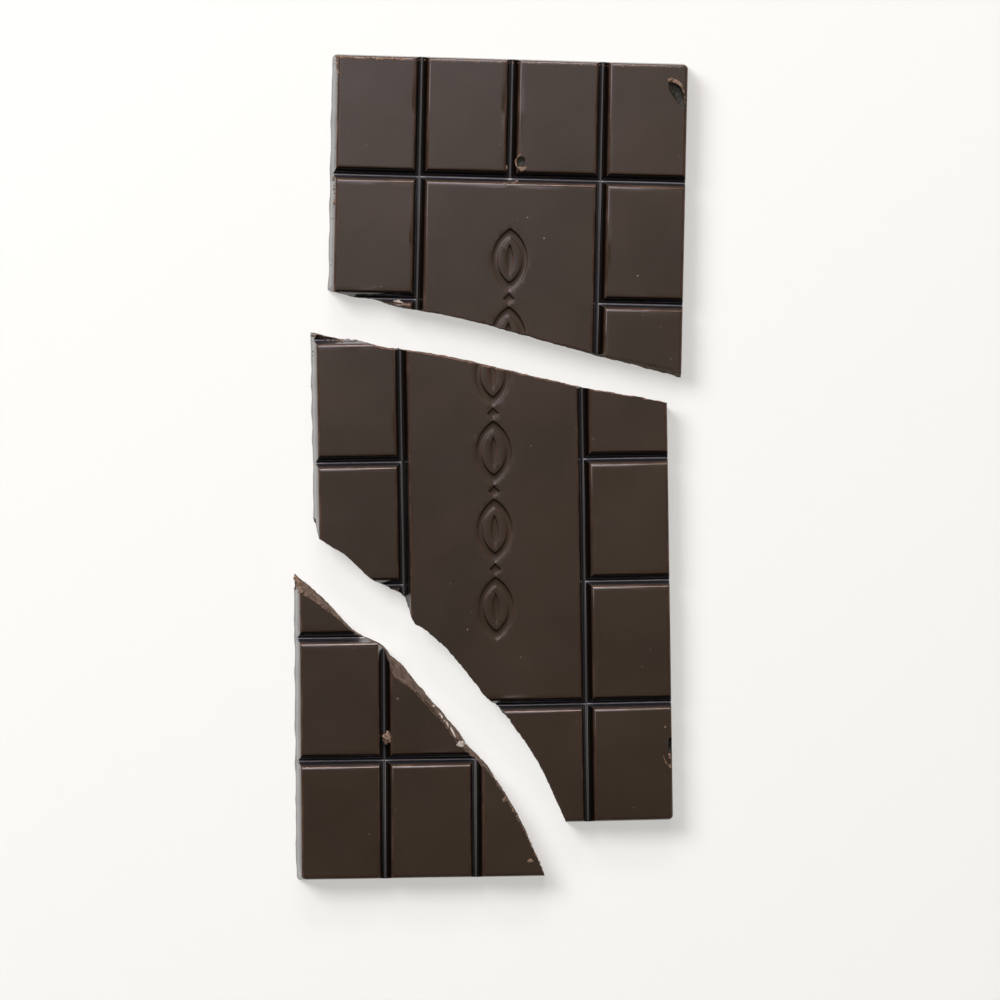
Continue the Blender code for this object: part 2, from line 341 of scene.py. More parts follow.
def takeChips(collection):
    for name, (middle, radii, turn, finish) in chips.items():
        bm = bmesh.new()
        bmesh.ops.create_icosphere(bm, subdivisions=chipShape["detail"], radius=1.0)
        for vert in bm.verts:
            way = vert.co.copy()
            for height, size in chipShape["dents"]:
                vert.co += way * height * noise.noise(way / size + Vector((middle[1], 0, 0)))
        bmesh.ops.scale(bm, vec=radii, verts=bm.verts)
        spin = Matrix.Rotation(math.radians(turn), 3, "Z")
        bmesh.ops.rotate(bm, cent=(0, 0, 0), matrix=spin, verts=bm.verts)
        bmesh.ops.translate(bm, vec=(middle[0], along(middle[1]), middle[2]), verts=bm.verts)
        for face in bm.faces:
            face.material_index = finishNames.index(finish)
        objectFrom(bm, name, collection)


def footLip(point):
    # how far the back's rim spreads at a point of the left side
    least, greatest, waves = bar["footLip"]
    return least + (greatest - least) * (0.5 + noise.noise(point.xy.to_3d() / waves))


def waver(obj):
    # lets the moulded faces stray a little from true; the back stays flat
    bm = bmesh.new()
    bm.from_mesh(obj.data)
    bmesh.ops.triangulate(bm, faces=bm.faces)
    bm.to_mesh(obj.data)
    bm.free()
    shifts = [Vector((0, 0, bar["waverApart"] * i)) for i in range(3)]
    for vert in obj.data.vertices:
        where = vert.co / bar["waverSize"]
        stray = Vector([noise.noise(where + shift) for shift in shifts]) * bar["waver"]
        stray.z *= vert.co.z / thickness
        vert.co += stray
        if vert.co.z < bar["backRound"][0] + skim and vert.co.x < -halfWidth:
            vert.co.x -= footLip(vert.co)


# each break as stops (across, along from the first edge, how far its foot runs out)
breaks = {
    "upper": {
        "stops": (
            (-43.0, 51.2, -0.4), (-38.8, 51.9, -0.35), (-33.5, 53.0, -0.3), (-28.8, 53.5, -0.2),
            (-23.8, 54.9, -0.2), (-10.0, 57.1, -0.2), (3.5, 60.4, -0.2), (20.5, 64.4, 0.1),
            (30.0, 66.1, 0.6), (38.7, 67.8, 1.0), (43.0, 68.8, 1.0),
        ),
        "run": Vector((0.0, -1.0, 0.0)),  # the way a positive foot runs out
        "seed": 3.0,
    },
    "lower": {
        "stops": (
            (-43.0, 93.4, 2.5), (-38.9, 96.9, 2.6), (-36.2, 98.7, 2.1), (-32.9, 100.9, 1.5),
            (-28.2, 105.3, 0.9), (-25.4, 107.1, 0.6), (-20.9, 109.3, 0.5), (-19.5, 112.6, 1.8),
            (-18.2, 115.9, 3.4), (-15.6, 117.6, 2.4), (-10.6, 122.3, 1.6), (-5.2, 128.9, 1.7),
            (-2.2, 132.9, 1.5), (1.6, 136.3, 1.3), (3.2, 138.5, 1.1), (6.3, 142.9, 0.9),
            (9.8, 149.0, 0.8), (14.5, 159.6, 0.7), (16.6, 164.5, 0.7),
        ),
        "run": Vector((1.0, 1.0, 0.0)).normalized(),
        "seed": 17.0,
    },
}
snap = {
    "reach": 150.0,  # past the far end of the bar
    "step": 0.25,  # between points along a break
    "levels": 26,  # from the back to the top
    "crag": (0.18, 3.1),  # height and size, as in the next three
    "fineCrag": (0.14, 1.1),
    "grit": (0.12, 0.5),
    "edgeChips": (0.5, 1.5, 0.15),  # and how much of the noise makes none
    "edgeSeed": 5,  # sets those chips apart from the crags
    "edge": 0.24,  # the least that a broken edge is worn back
    "edgeDepth": 0.75,  # how far down that reaches
}


def smoothPath(points, step):
    # a Catmull-Rom curve through points
    points = [2 * points[0] - points[1]] + points + [2 * points[-1] - points[-2]]
    path = []
    for a, b, c, d in zip(points, points[1:], points[2:], points[3:]):
        steps = math.ceil((c.xy - b.xy).length / step)
        for i in range(steps):
            t = i / steps
            bend = (2 * a - 5 * b + 4 * c - d) * t ** 2 + (3 * b - a - 3 * c + d) * t ** 3
            path.append((2 * b + (c - a) * t + bend) / 2)
    path.append(points[-2])
    return path


def roughness(point, seed):
    # how far the broken face stands proud at a point
    total = 0.0
    for name in ("crag", "fineCrag", "grit"):
        height, size = snap[name]
        total += height * noise.noise(point / size + Vector((seed * snap["crag"][1] / size, 0, 0)))
    return total


def breakSolid(name, which, side, collection):
    # the solid on one side of a break: +1 takes what lies past it, -1 what lies before it
    stops, run, seed = breaks[which]["stops"], breaks[which]["run"], breaks[which]["seed"]
    path = smoothPath([Vector((x, along(y), foot)) for x, y, foot in stops], snap["step"])
    edgeHeight, edgeSize, edgeQuiet = snap["edgeChips"]
    levels = [-overshoot] + [thickness * i / snap["levels"] for i in range(snap["levels"] + 1)]
    levels += [thickness + overshoot]
    # a grid 1 by 1, whose columns take their places from the path and its rows from the levels
    bm = bmesh.new()
    bmesh.ops.create_grid(bm, x_segments=len(path) - 1, y_segments=len(levels) - 1, size=0.5)
    for vert in bm.verts:
        stop = path[round((vert.co.x + 0.5) * (len(path) - 1))]
        z = levels[round((vert.co.y + 0.5) * (len(levels) - 1))]
        depth = min(max(1 - z / thickness, 0.0), 1.0)
        point = Vector((stop.x, stop.y, z))
        worn = max(0.0, min(1.0, 1 - (thickness - z) / snap["edgeDepth"]))
        where = point.xy.to_3d() / edgeSize + Vector((seed, side, snap["edgeSeed"]))
        worn *= snap["edge"] + edgeHeight * max(0.0, noise.noise(where) - edgeQuiet)
        vert.co = point + run * (stop.z * depth + roughness(point, seed) - side * worn)
    for face in bm.faces:
        face.material_index = finishNames.index("snapped")
        face.smooth = True
    bmesh.ops.triangulate(bm, faces=bm.faces)
    swept = bmesh.ops.extrude_face_region(bm, geom=bm.faces[:])["geom"]
    bmesh.ops.translate(bm, vec=run * side * snap["reach"], verts=vertsIn(swept))
    objectFrom(bm, name, collection)


# where each piece lies: how far it moved from its place in the bar, and its turn
places = {
    "piece_upper": ((2.62, 9.63), math.radians(-1.20)),
    "piece_middle": ((-0.15, 1.62), math.radians(0.87)),
    "piece_lower": ((-4.39, -10.15), math.radians(0.41)),
}
sharpAngle = math.radians(35.0)


def toWorld(name):
    shift, turn = places[name]
    lay = Matrix.Translation((*shift, 0)) @ Matrix.Rotation(turn, 4, "Z")
    return Matrix.Scale(mm, 4) @ lay


def brokenPiece(name, source, cutters, operation):
    # cuts a piece from the whole bar, marks its surface and lays it in its place
    piece = bpy.data.objects.new(name + "_chocolate", source.data.copy())
    bpy.context.scene.collection.objects.link(piece)
    cut(piece, cutters, operation)
    bake(piece)
    piece.data.shade_smooth()
    piece.data.set_sharp_from_angle(angle=sharpAngle)
    markSurface(piece.data)
    piece.data.transform(toWorld(name))
    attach(piece, "root")
    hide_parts(name)
    print(name, len(piece.data.polygons))
    return piece


def newMaterial(name, values):
    # a material with values on its shader's own sockets
    material = bpy.data.materials.new(name)
    material.use_nodes = True
    shader = material.node_tree.nodes["Principled BSDF"]
    for socket, value in values.items():
        shader.inputs[socket].default_value = value
    return material, material.node_tree, shader


def addNode(tree, kind, **inputs):
    node = tree.nodes.new(kind)
    for name, value in inputs.items():
        node.inputs[name].default_value = value
    return node


def objectNoise(tree, size, detail, seed):
    # a noise of a real size in metres on the piece's own coordinates
    coords = tree.nodes.new("ShaderNodeTexCoord")
    mapping = tree.nodes.new("ShaderNodeMapping")
    mapping.inputs["Location"].default_value = (seed, 0, 0)
    mapping.inputs["Scale"].default_value = (1 / size,) * 3
    texture = addNode(tree, "ShaderNodeTexNoise", Scale=1.0, Detail=detail, Roughness=0.5)
    tree.links.new(coords.outputs["Object"], mapping.inputs["Vector"])
    tree.links.new(mapping.outputs["Vector"], texture.inputs["Vector"])
    return texture.outputs["Fac"]


def mapRange(tree, value, low, high, toLow=0, toHigh=1):
    node = tree.nodes.new("ShaderNodeMapRange")
    for slot, number in zip(("From Min", "From Max", "To Min", "To Max"), (low, high, toLow, toHigh)):
        node.inputs[slot].default_value = number
    tree.links.new(value, node.inputs["Value"])
    return node.outputs["Result"]


def mixColours(tree, factor, first, second):
    # inputs 6 and 7 and output 2 of a Mix node are its colours
    node = tree.nodes.new("ShaderNodeMix")
    node.data_type = "RGBA"
    tree.links.new(factor, node.inputs["Factor"])
    for slot, colour in ((6, first), (7, second)):
        if isinstance(colour, tuple):
            node.inputs[slot].default_value = colour
        else:
            tree.links.new(colour, node.inputs[slot])
    return node.outputs[2]


def addBump(tree, shader, layers):
    # (height, (strength, distance)) from the coarsest to the finest
    previous = None
    for height, (strength, distance) in layers:
        bump = addNode(tree, "ShaderNodeBump", Strength=strength, Distance=distance)
        tree.links.new(height, bump.inputs["Height"])
        if previous:
            tree.links.new(previous, bump.inputs["Normal"])
        previous = bump.outputs["Normal"]
    tree.links.new(previous, shader.inputs["Normal"])


# the moulded surface; a noise is its size in metres, detail and seed, a bump its strength and
# distance, and a pair of leans, facings or heights says where a change starts and is full
satin = {
    "ior": 1.5,
    "specular": 0.5,
    "shadedSpecular": 0.12,  # in the grooves, on the walls turned from the light
    "dark": (0.0385, 0.0262, 0.0138, 1),
    "light": (0.0545, 0.0368, 0.0195, 1),
    "drift": (0.022, 3.0, 0.0),  # the noise from dark to light
    "driftSpan": (0.3, 0.7),
    "speck": (0.25, 0.18, 0.14, 1),  # fine crumbs of dust here and there
    "speckNoise": (0.0009, 1.0, 4.0),
    "specks": (0.81, 0.84),
    "rim": (0.072, 0.045, 0.029, 1),  # the worn shoulders, as in the next four
    "rimWorn": (0.12, 0.076, 0.052, 1),
    "rimLean": (0.08, 0.25),
    "wear": (0.006, 4.0, 5.0),
    "wearSpan": (0.45, 0.65),
    "paintedShadeFacing": (-0.12, -0.45),  # facings over which a face turned from the light takes the near-black painted shade; past the second, a groove's wall takes the shaded finish
    "wall": (0.008, 0.005, 0.003, 1),  # painted shade: near black for what lies below the tops and for faces turned from the light
    "paintedShadeHeight": (0.0056, 0.0061),  # from the painted shade of the walls to the colour of the tops
    "paintedLitWall": (0.045, 0.043, 0.042, 1),  # but the walls that face the first end, towards the light, are lighter: painted light
    "litWallFacing": (0.5, 0.9),
    "paintedFloorSheen": (0.078, 0.077, 0.074, 1),  # painted reflection: a pale grey line on the grooves' floors
    "paintedRootHighlight": (0.8, 0.79, 0.77, 1),  # painted highlight, near white, where they turn up into a wall that faces the light
    "sheenHeight": (0.00362, 0.0038),
    "sheenLean": (0.2, 0.5),
    "rootHighlightFacing": (0.0, 0.2),
    "smudge": (0.015, 2.0, 9.0),
    "smudgeSpan": (0.2, 0.8),
    "roughness": (0.28, 0.34),
    "glossy": 0.13,  # roughness of the shoulders, as in the next three
    "glossyLean": (0.04, 0.2),
    "steep": 0.2,
    "steepLean": (0.32, 0.45),
    "uprightLean": (0.85, 0.92),  # where that ends
    "grooved": 0.18,  # roughness in the grooves
    "ripple": (0.0045, 1.0, 2.0),
    "rippleBump": (0.25, 0.0001),
    "grain": (0.00035, 2.0, 7.0),
    "grainBump": (0.12, 0.00004),
}
grooveTop = 0.7  # a groove's walls start this far below the tops
outerSkin = 0.15  # and this far inside the bar's sides


def inGroove(point):
    sunk = thickness - point.z
    spread = sunk * math.tan(bar["draft"]) - outerSkin
    return sunk > grooveTop and abs(point.x) < halfWidth + spread and abs(point.y) < halfLength + spread


def markSurface(mesh):
    # for each corner of each face: how far the surface leans from level, 0 to 1 for upright,
    # how far it faces the first end or away from it, and whether it is inside a groove;
    # a groove's wall that is turned from the light takes the shaded finish
    marks = {name: [0.0] * len(mesh.loops) for name in ("lean", "facing", "sunk")}
    for face in mesh.polygons:
        sunk = float(inGroove(face.center))
        inner = abs(face.center.y) < halfLength - bar["topRound"][0]  # at the bar's ends, faces turned from the light get no painted shade
        turnedToShade = sunk and face.normal.y < satin["paintedShadeFacing"][1]
        if turnedToShade and face.material_index == finishNames.index("satin"):
            face.material_index = finishNames.index("shaded")
        for i in face.loop_indices:
            normal = mesh.corner_normals[i].vector
            marks["lean"][i] = math.acos(max(0.0, min(1.0, normal.z))) * 2 / math.pi
            marks["facing"][i] = normal.y if inner else max(0.0, normal.y)
            marks["sunk"][i] = sunk
    for name, values in marks.items():
        mesh.attributes.new(name, "FLOAT", "CORNER").data.foreach_set("value", values)


def readAttribute(tree, name):
    node = tree.nodes.new("ShaderNodeAttribute")
    node.attribute_name = name
    return node.outputs["Fac"]


def objectHeight(tree):
    coords = tree.nodes.new("ShaderNodeTexCoord")
    split = tree.nodes.new("ShaderNodeSeparateXYZ")
    tree.links.new(coords.outputs["Object"], split.inputs["Vector"])
    return split.outputs["Z"]


def mixValues(tree, factor, first, second, flipped=False):
    # from the first, a socket, to the second, a number, or the other way round
    node = tree.nodes.new("ShaderNodeMix")
    tree.links.new(factor, node.inputs["Factor"])
    tree.links.new(first, node.inputs["B" if flipped else "A"])
    node.inputs["A" if flipped else "B"].default_value = second
    return node.outputs["Result"]


def satinColour(tree, lean, facing, sunk):
    drift = mapRange(tree, objectNoise(tree, *satin["drift"]), *satin["driftSpan"])
    colour = mixColours(tree, drift, satin["dark"], satin["light"])
    speck = mapRange(tree, objectNoise(tree, *satin["speckNoise"]), *satin["specks"])
    colour = mixColours(tree, speck, colour, satin["speck"])
    wear = mapRange(tree, objectNoise(tree, *satin["wear"]), *satin["wearSpan"])
    rim = mixColours(tree, wear, satin["rim"], satin["rimWorn"])
    colour = mixColours(tree, mapRange(tree, lean, *satin["rimLean"]), colour, rim)
    # painted shade: faces turned from the light go towards the near-black wall colour
    turnedToShade = mapRange(tree, facing, *satin["paintedShadeFacing"])
    colour = mixColours(tree, turnedToShade, colour, satin["wall"])
    # painted light: groove walls that face the first end, towards the lamps, are lighter grey
    litWallFacing = mapRange(tree, facing, *satin["litWallFacing"])
    litWall = mixValues(tree, sunk, litWallFacing, 0.0, flipped=True)
    wall = mixColours(tree, litWall, satin["wall"], satin["paintedLitWall"])
    # painted shade: below the tops everything takes the wall colour, near black or lit grey
    paintedShadeBelow = mapRange(tree, objectHeight(tree), *satin["paintedShadeHeight"], 1, 0)
    colour = mixColours(tree, paintedShadeBelow, colour, wall)
    # painted reflection on the grooves' floors, with a painted highlight where a floor turns up towards
    # the light
    low = mapRange(tree, objectHeight(tree), *satin["sheenHeight"], 1, 0)
    floorSheen = mixValues(tree, mapRange(tree, lean, *satin["sheenLean"]), low, 0.0)
    rootHighlight = mapRange(tree, facing, *satin["rootHighlightFacing"])
    return mixColours(tree, floorSheen, colour, mixColours(tree, rootHighlight, satin["paintedFloorSheen"], satin["paintedRootHighlight"]))


def satinRoughness(tree, lean, sunk):
    smudge = objectNoise(tree, *satin["smudge"])
    polish = mapRange(tree, smudge, *satin["smudgeSpan"], *satin["roughness"])
    polish = mixValues(tree, mapRange(tree, lean, *satin["glossyLean"]), polish, satin["glossy"])
    upright = mapRange(tree, lean, *satin["uprightLean"])
    steep = mixValues(tree, upright, mapRange(tree, lean, *satin["steepLean"]), 0.0)
    polish = mixValues(tree, steep, polish, satin["steep"])
    return mixValues(tree, sunk, polish, satin["grooved"])


def satinChocolate(name, specular):
    values = {"IOR": satin["ior"], "Specular IOR Level": specular}
    material, tree, shader = newMaterial(name, values)
    lean, facing, sunk = [readAttribute(tree, mark) for mark in ("lean", "facing", "sunk")]
    tree.links.new(satinColour(tree, lean, facing, sunk), shader.inputs["Base Color"])
    tree.links.new(satinRoughness(tree, lean, sunk), shader.inputs["Roughness"])
    ripple = objectNoise(tree, *satin["ripple"])
    grain = objectNoise(tree, *satin["grain"])
    addBump(tree, shader, ((ripple, satin["rippleBump"]), (grain, satin["grainBump"])))
    return material


# the broken faces, given as the moulded surface is
snapped = {
    "dark": (0.085, 0.060, 0.042, 1),
    "light": (0.185, 0.130, 0.093, 1),
    "edge": (0.23, 0.135, 0.100, 1),  # lighter and redder towards the top of the broken faces
    "edgeHeight": (0.0057, 0.0063),
    "roughness": 0.8,
    "specular": 0.15,
    "crumb": (0.0014, 4.0, 3.0),
    "crumbSpan": (0.35, 0.65),
    "crumbBump": (0.8, 0.0004),
    "grain": (0.0003, 3.0, 8.0),
    "grainBump": (0.6, 0.00012),
}


def snappedChocolate():
    values = {"Roughness": snapped["roughness"], "Specular IOR Level": snapped["specular"]}
    material, tree, shader = newMaterial("snappedChocolate", values)
    crumb = objectNoise(tree, *snapped["crumb"])
    mottle = mapRange(tree, crumb, *snapped["crumbSpan"])
    colour = mixColours(tree, mottle, snapped["dark"], snapped["light"])
    edge = mapRange(tree, objectHeight(tree), *snapped["edgeHeight"])
    tree.links.new(mixColours(tree, edge, colour, snapped["edge"]), shader.inputs["Base Color"])
    grain = objectNoise(tree, *snapped["grain"])
    addBump(tree, shader, ((crumb, snapped["crumbBump"]), (grain, snapped["grainBump"])))
    return material


# the inside of the chocolate in chips, on crumbs and on flakes: dark, light and roughness; the chips'
# near black is painted shade in their hollows, and the flakes' pale cream a painted glint
crumbled = {
    # painted shade: the chips' hollows are coloured near black
    "chipHollowPaintedShade": ((0.010, 0.0095, 0.005, 1), (0.028, 0.026, 0.014, 1), 0.7),
    "crumbledChocolate": ((0.11, 0.070, 0.040, 1), (0.34, 0.225, 0.135, 1), 0.65),
    # painted glint: a pale cream for the flakes, specks and curls
    "paintedGlintFlake": ((0.36, 0.31, 0.23, 1), (0.70, 0.65, 0.53, 1), 0.4),
}
mottled = {
    "noise": (0.0006, 3.0, 6.0),
    "span": (0.35, 0.65),
    "bump": (0.6, 0.00015),
}


def crumbledFinish(name):
    dark, light, roughness = crumbled[name]
    material, tree, shader = newMaterial(name, {"Roughness": roughness})
    mottle = objectNoise(tree, *mottled["noise"])
    colour = mixColours(tree, mapRange(tree, mottle, *mottled["span"]), dark, light)
    tree.links.new(colour, shader.inputs["Base Color"])
    addBump(tree, shader, ((mottle, mottled["bump"]),))
    return material


def chocolatePieces():
    finishes.extend((
        satinChocolate("satinChocolate", satin["specular"]),
        snappedChocolate(),
        crumbledFinish("chipHollowPaintedShade"),
        satinChocolate("shadedChocolate", satin["shadedSpecular"]),
    ))
    grooveCutters = newCollection("grooveCutters")
    motifCutters = newCollection("motifCutters")
    chipCutters = newCollection("chipCutters")
    cutGrooves(grooveCutters)
    sinkMotif(motifCutters)
    takeChips(chipCutters)
    whole = mouldedBlock()
    for cutters in (grooveCutters, motifCutters, chipCutters):
        cut(whole, cutters)
        bake(whole)
    waver(whole)
    print("whole bar", len(whole.data.polygons))
    pieceCutters = {name: newCollection(name + "Breaks") for name in places}
    breakSolid("belowUpper", "upper", 1, pieceCutters["piece_upper"])
    breakSolid("aboveUpper", "upper", -1, pieceCutters["piece_middle"])
    breakSolid("belowLower", "lower", -1, pieceCutters["piece_middle"])
    breakSolid("belowLowerKept", "lower", -1, pieceCutters["piece_lower"])
    pieces = []
    for name, cutters in pieceCutters.items():
        operation = "INTERSECT" if name == "piece_lower" else "DIFFERENCE"
        pieces.append(brokenPiece(name, whole, cutters, operation))
    for obj in list(scratch.all_objects):
        bpy.data.objects.remove(obj)
    return pieces


studio = {
    "aim": (1.23, -7.15, 6.6),  # mm
    "distance": 1100.0,
    "fromLeft": math.radians(5.8),
    "fromBelow": math.radians(-1.0),
    "view": 220.4,  # mm across the picture at the aim
    "sensor": 36.0,
    "clip": (0.05, 50.0),  # metres
    "sky": ((0.9, 0.95, 1.0, 1), 0.02),  # colour and strength
}


def stand(obj, way, place):
    # turns a camera or lamp to look back along a direction, with +Y up in its view
    right = Vector((0, 1, 0)).cross(way).normalized()
    turn = Matrix((right, way.cross(right), way)).transposed().to_4x4()
    obj.matrix_world = Matrix.Translation(place) @ turn


def cameraWay():
    return Vector((-math.tan(studio["fromLeft"]), -math.tan(studio["fromBelow"]), 1.0)).normalized()


def cameraPlace():
    return Vector(studio["aim"]) + cameraWay() * studio["distance"]


def setCamera():
    data = bpy.data.cameras.new("camera")
    camera = bpy.data.objects.new("camera", data)
    bpy.context.scene.collection.objects.link(camera)
    stand(camera, cameraWay(), cameraPlace() * mm)
    data.sensor_width = studio["sensor"]
    data.lens = studio["sensor"] * studio["distance"] / studio["view"]
    data.clip_start, data.clip_end = studio["clip"]
    bpy.context.scene.camera = camera


# raised rims and curled flakes: points on the tops in mm, then the greatest half width and height
curls = {
    "scoopCurl": (((38.4, 85.6), (39.3, 85.4), (40.2, 85.2), (41.1, 84.7), (41.6, 84.0)), 0.52, 0.4),
    "scoopRim": (((41.5, 84.1), (42.0, 83.0), (42.25, 81.7), (42.4, 80.3)), 0.17, 0.22),
    "cornerRim": (((5.9, 69.0), (5.1, 68.3), (4.75, 67.2), (5.0, 66.2), (5.6, 65.5)), 0.22, 0.25),
    "cornerFlake": (((5.2, 66.0), (6.1, 65.7), (7.1, 66.2)), 0.5, 0.3),
    "nickFlake": (((38.9, -63.3), (39.1, -64.6)), 0.3, 0.25),
    "nickFlakeEnd": (((39.0, -65.7), (39.2, -66.7)), 0.28, 0.2),
    "nickScratch": (((37.5, -63.7), (38.1, -65.2), (38.9, -66.4)), 0.13, 0.08),
    "breakFlake": (((-20.9, 36.3), (-19.7, 35.8), (-18.4, 35.6)), 0.3, 0.2),
}
curlShape = {
    "step": 0.14,  # mm between its sections
    "around": 12,  # points round one
    "swell": (0.5, 0.7),  # share of the width by which it varies along, and over what length
    "lumps": (0.45, 0.3),  # the same for its surface
    "tip": 0.04,  # where on half a wave its ends lie
    "fullness": 0.6,
}

# crumbs: place in mm, radii and how far the middle stands off what carries it
crumbs = {
    "grooveCrumb": ((-23.5, -59.5), (1.15, 1.25, 0.8), 0.4),
    "smearCrumbA": ((2.4, 62.5), (0.4, 0.2, 0.16), 0.0),
    "smearCrumbB": ((4.2, 62.6), (0.55, 0.25, 0.2), 0.0),
    "smearCrumbC": ((4.9, 63.0), (0.35, 0.3, 0.2), 0.0),
    "cornerCrumb": ((2.6, 66.0), (0.28, 0.5, 0.2), 0.0),
    "edgeCrumbA": ((-35.5, 63.4), (0.28, 0.5, 0.2), 0.0),
    "edgeCrumbB": ((-35.4, 61.1), (0.2, 0.35, 0.16), 0.0),
    "edgeCrumbC": ((-35.3, 58.3), (0.25, 0.6, 0.18), 0.0),
    "breakCrumbA": ((7.9, -86.9), (0.6, 0.42, 0.2), 0.0),
    "breakCrumbB": ((2.2, -73.3), (0.4, 0.5, 0.25), 0.0),
    "edgeCrumbD": ((38.0, -57.5), (0.22, 0.22, 0.12), 0.0),
    "breakCrumbC": ((-19.0, 35.9), (0.25, 0.2, 0.15), 0.0),
}
# lines of small crumbs along worn edges: points in mm, how many, and the greatest radius
crumbRows = {
    "topEdgeWorn": (((-34.7, 90.1), (-19.5, 89.6)), 70, 0.38),
    "topEdge": (((-19.5, 89.6), (41.0, 88.3)), 110, 0.2),
    "topCorner": (((-34.8, 90.0), (-34.4, 86.2)), 22, 0.36),
    "leftEdge": (((-34.5, 86.0), (-36.0, 41.5)), 50, 0.17),
    "middleTip": (((-40.7, 29.0), (-33.4, 27.8)), 40, 0.34),
    "middleLeft": (((-40.2, 26.0), (-40.9, -1.0)), 26, 0.16),
    "lowerTip": (((-43.9, -23.8), (-42.7, -27.2)), 44, 0.5),
    "lowerRim": (((-42.8, -27.5), (-40.0, -29.1), (-37.4, -30.9), (-34.5, -33.1)), 70, 0.22),
    "lowerFace": (((-42.6, -26.2), (-38.6, -28.6), (-35.0, -32.0)), 34, 0.2),
    "lowerMiddleRim": (
        ((-23.2, -41.7), (-22.1, -45.2), (-20.8, -46.9), (-18.7, -48.5), (-16.4, -50.6),
         (-13.7, -53.7), (-11.0, -56.6), (-8.3, -60.4)),
        130, 0.18,
    ),
    "lowerEndRim": (
        ((2.4, -72.4), (4.6, -76.3), (6.4, -79.7), (8.1, -83.2), (9.6, -86.5), (10.5, -88.6)),
        100, 0.24,
    ),
    "scoopCrumbs": (((39.0, 85.9), (41.6, 84.2)), 12, 0.3),
    "shoulderSpots": (((-27.2, 39.9), (-24.9, 39.8)), 8, 0.17),
}
rowShape = {
    "spread": 0.3,  # mm, how far the crumbs stray from their line
    "least": 0.35,  # radius as a share of the greatest
    "across": (0.8, 1.6),  # least and greatest share of the radius, as in the next one
    "along": (0.6, 1.1),
    "height": 0.6,
    "seeds": 50,  # the span that their lumps' seeds are drawn from
}
# pale flakes and specks, given as the crumbs are, and pale curls, given as the curls are; their pale
# colour is a painted glint
glints = {
    "glintA": ((-13.5, -52.6), (0.35, 0.3, 0.2), 0.0),
    "glintD": ((-7.4, -61.0), (0.85, 0.75, 0.4), 0.05),
    "speckA": ((7.3, 55.1), (0.12, 0.1, 0.06), 0.0),
    "speckB": ((11.0, 50.5), (0.12, 0.14, 0.06), 0.0),
    "speckC": ((31.8, 42.3), (0.16, 0.12, 0.07), 0.0),
}
paintedGlintCurls = {
    "glintB": (((-12.7, -53.3), (-12.2, -54.3), (-11.5, -55.3)), 0.36, 0.3),
    "glintE": (((-11.2, -55.6), (-10.6, -56.3), (-10.2, -57.3)), 0.26, 0.3),
    "glintC": (((-9.9, -57.1), (-9.3, -58.3), (-8.6, -59.6)), 0.34, 0.3),
    "flake": (((-22.4, 36.6), (-21.3, 36.4), (-20.2, 36.2)), 0.42, 0.2),
}
loose = {
    "lumps": (0.5, 0.5),  # share of the radius, and size
    "crumbSeed": 3.7,  # between the lumps of two crumbs, as in the next one for flakes
    "flakeSeed": 5.3,
    "crumbDetail": 4,  # subdivisions, as in the next two
    "flakeDetail": 3,
    "rowDetail": 2,
    "proudest": 0.17,  # mm, the most that loose bits stand above the tops
    "lowest": 0.02,  # and their least height above what the bar lies on
}


def surfaceBelow(trees, x, y):
    # where the sight line through a point of the tops meets the chocolate, in mm
    eye = cameraPlace()
    way = (Vector((x, y, thickness)) - eye).normalized()
    hits = [tree.ray_cast(eye * mm, way) for tree in trees]
    hits = [(hit[3], hit[0] / mm) for hit in hits if hit[0]]
    return min(hits, key=lambda hit: hit[0])[1] if hits else None


def addCurl(trees, points, width, height):
    swellShare, swellLength = curlShape["swell"]
    lumpShare, lumpSize = curlShape["lumps"]
    tip = curlShape["tip"]
    turns = [2 * math.pi * k / curlShape["around"] for k in range(curlShape["around"])]
    path = smoothPath([Vector((x, y, 0)) for x, y in points], curlShape["step"])
    found = [(point, surfaceBelow(trees, point.x, point.y)) for point in path]
    found = [(point, base) for point, base in found if base and base.z > thickness / 2]
    loops = []
    for i, (point, base) in enumerate(found):
        t = i / (len(found) - 1)
        swell = math.sin(math.pi * (tip + (1 - 2 * tip) * t)) ** curlShape["fullness"]
        swell *= 1 + swellShare * noise.noise(point / swellLength)
        tangent = found[min(i + 1, len(found) - 1)][0] - found[max(i - 1, 0)][0]
        side = Vector((-tangent.y, tangent.x, 0)).normalized() * width * swell
        up = Vector((0, 0, height * swell))
        loop = []
        for a in turns:
            spoke = side * math.cos(a) + up * math.sin(a)
            loop.append(base + spoke * (1 + lumpShare * noise.noise((base + spoke) / lumpSize)))
        loops.append(loop)
    bm = bmesh.new()
    drawLoops(bm, loops, capped=True)
    return bm


def addCrumb(trees, place, radii, standOff, seed, subdivisions):
    height, size = loose["lumps"]
    where = surfaceBelow(trees, *place)
    if not where:
        return None
    bm = bmesh.new()
    bmesh.ops.create_icosphere(bm, subdivisions=subdivisions, radius=1.0)
    for vert in bm.verts:
        vert.co *= 1 + height * noise.noise(vert.co / size + Vector((seed, 0, 0)))
    bmesh.ops.scale(bm, vec=radii, verts=bm.verts)
    bmesh.ops.translate(bm, vec=where + Vector((0, 0, standOff)), verts=bm.verts)
    return bm


def severalCrumbs(trees, bits, seedStep, subdivisions):
    return [addCrumb(trees, *bit, seedStep * i, subdivisions) for i, bit in enumerate(bits.values())]


